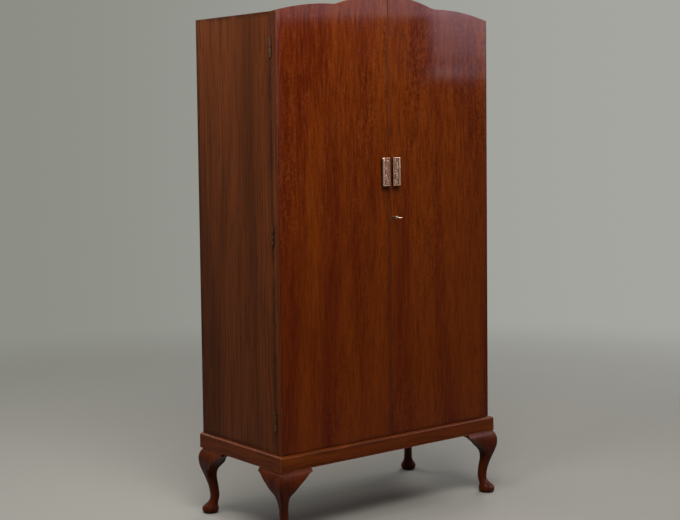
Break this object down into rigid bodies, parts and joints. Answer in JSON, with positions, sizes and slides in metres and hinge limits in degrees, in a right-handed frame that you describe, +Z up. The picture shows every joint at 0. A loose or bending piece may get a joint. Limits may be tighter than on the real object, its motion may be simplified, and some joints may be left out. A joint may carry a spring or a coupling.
{
  "type": "compactum wardrobe",
  "caption": "Small two-door wardrobe with an arched top on a moulded base with cabriole legs, fitted with a hanging side and a shelved side, pull handles, lock and key.",
  "frame": {"origin": "on the floor, under the middle of the whole object's box, key included", "axes": "+X to the right as one faces the doors, +Y from the doors to the back, +Z up"},
  "size_m": [0.9654, 0.5045, 1.754],
  "materials": {
    "door_veneer": "french polished",
    "side_veneer": "satin polished",
    "solid_mahogany": "polished",
    "inside_wood": "thin varnish",
    "back_plywood": "bare",
    "antique_brass": "toned",
    "hardware_brass": "satin",
    "lock_steel": "worn nickel",
    "screw_steel": "satin",
    "mirror_glass": "silvered"
  },
  "bodies": {
    "case": {"left_side_panel": "side_veneer", "right_side_panel": "side_veneer", "top_board": "inside_wood", "bottom_board": "inside_wood", "back_panel": "back_plywood", "head_rail": "solid_mahogany", "partition": "inside_wood", "hat_shelf": "inside_wood", "shelf_1": "inside_wood", "shelf_2": "inside_wood", "shelf_3": "inside_wood", "shelf_4": "inside_wood", "shelf_5": "inside_wood", "shelf_lips": "inside_wood", "shelf_bearers": "inside_wood", "hanging_rail": "hardware_brass", "rail_sockets": "hardware_brass", "rail_socket_screws": "hardware_brass", "base_front_rail": "solid_mahogany", "base_right_rail": "solid_mahogany", "base_left_rail": "solid_mahogany", "base_back_rail": "solid_mahogany", "leg_front_left": "solid_mahogany", "leg_front_right": "solid_mahogany", "leg_back_left": "solid_mahogany", "leg_back_right": "solid_mahogany", "leg_ears_front": "solid_mahogany", "leg_ears_back": "solid_mahogany", "base_corner_blocks": "inside_wood", "base_front_batten": "inside_wood", "bolt_keepers": "hardware_brass", "right_hinge_case_leaves": "hardware_brass", "left_hinge_case_leaves": "hardware_brass", "right_hinge_pins": "hardware_brass", "left_hinge_pins": "hardware_brass", "case_hinge_screws": "hardware_brass"},
    "left_door": {"left_door_panel": "door_veneer", "left_handle": "antique_brass", "left_handle_screws": "screw_steel", "left_hinge_door_leaves": "hardware_brass", "left_door_hinge_screws": "hardware_brass", "lock_keeper": "hardware_brass", "slip_bolt_plates": "hardware_brass", "slip_bolt_screws": "hardware_brass", "tie_rail": "hardware_brass", "tie_rail_brackets": "hardware_brass"},
    "right_door": {"right_door_panel": "door_veneer", "right_handle": "antique_brass", "right_handle_screws": "screw_steel", "right_hinge_door_leaves": "hardware_brass", "right_door_hinge_screws": "hardware_brass", "lock_case": "lock_steel", "lock_screws": "screw_steel", "escutcheon": "hardware_brass", "dressing_mirror": "mirror_glass", "mirror_clips": "hardware_brass"},
    "key": {"key": "lock_steel"},
    "lock_bolt": {"lock_bolt": "lock_steel"},
    "top_slip_bolt": {"top_slip_bolt": "hardware_brass"},
    "bottom_slip_bolt": {"bottom_slip_bolt": "hardware_brass"}
  },
  "joints": [
    {"name": "left_door_hinge", "type": "hinge", "parent": "case", "child": "left_door", "pos_m": [-0.4608, -0.18375, 0.97928], "axis": [0, 0, -1], "range_deg": [0, 180]},
    {"name": "right_door_hinge", "type": "hinge", "parent": "case", "child": "right_door", "pos_m": [0.4608, -0.18375, 0.97928], "axis": [0, 0, 1], "range_deg": [0, 180]},
    {"name": "key_turn", "type": "hinge", "parent": "right_door", "child": "key", "pos_m": [0.019, -0.21075, 1.016], "axis": [0, -1, 0], "range_deg": [0, 180]},
    {"name": "lock_bolt_slide", "type": "slide", "parent": "right_door", "child": "lock_bolt", "axis": [-1, 0, 0], "range_m": [0, 0.01]},
    {"name": "top_slip_bolt_slide", "type": "slide", "parent": "left_door", "child": "top_slip_bolt", "axis": [0, 0, 1], "range_m": [0, 0.012]},
    {"name": "bottom_slip_bolt_slide", "type": "slide", "parent": "left_door", "child": "bottom_slip_bolt", "axis": [0, 0, -1], "range_m": [0, 0.012]}
  ],
  "couplings": [
    {"joint": "lock_bolt_slide", "follows": "key_turn", "m_per_rad": 0.0031831}
  ]
}
